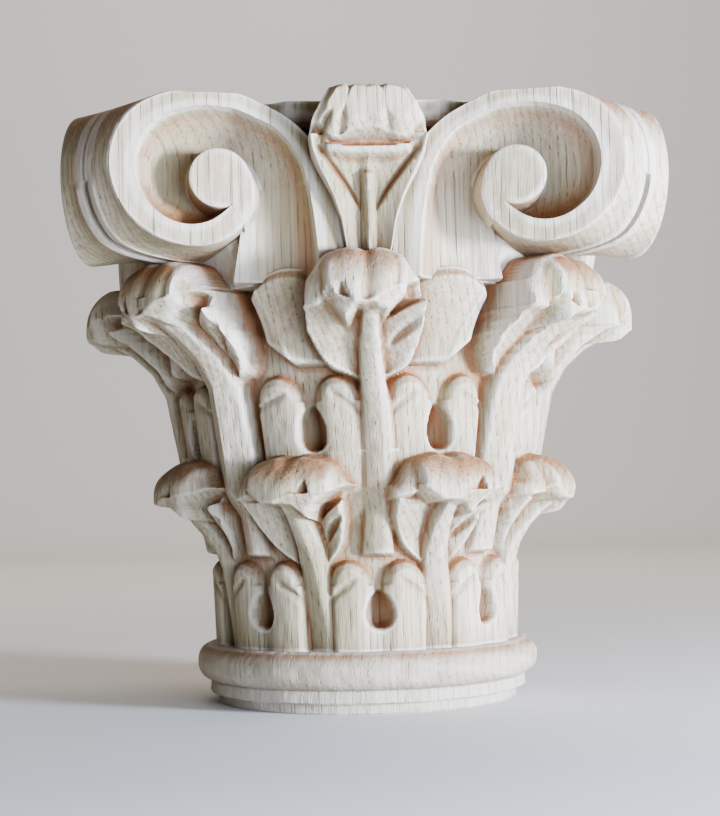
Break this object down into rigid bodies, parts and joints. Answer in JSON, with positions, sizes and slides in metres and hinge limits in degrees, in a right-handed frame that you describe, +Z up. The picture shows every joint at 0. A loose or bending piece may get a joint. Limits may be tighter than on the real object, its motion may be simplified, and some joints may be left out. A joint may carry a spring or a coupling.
{
  "type": "wooden column capital",
  "caption": "Carved raw-oak column capital, full round, with two tiers of acanthus leaves, corner volutes, a fleuron on each face and a turned ring below.",
  "frame": {"origin": "middle of the flat underside, on the capital's axis", "axes": "+Z up along the axis, -Y out of the front face, +X to the right of the front face"},
  "size_m": [0.1874, 0.1874, 0.184],
  "materials": {
    "raw_oak": "raw, chisel cut"
  },
  "bodies": {
    "root": {"carved_capital": "raw_oak"}
  },
  "joints": []
}
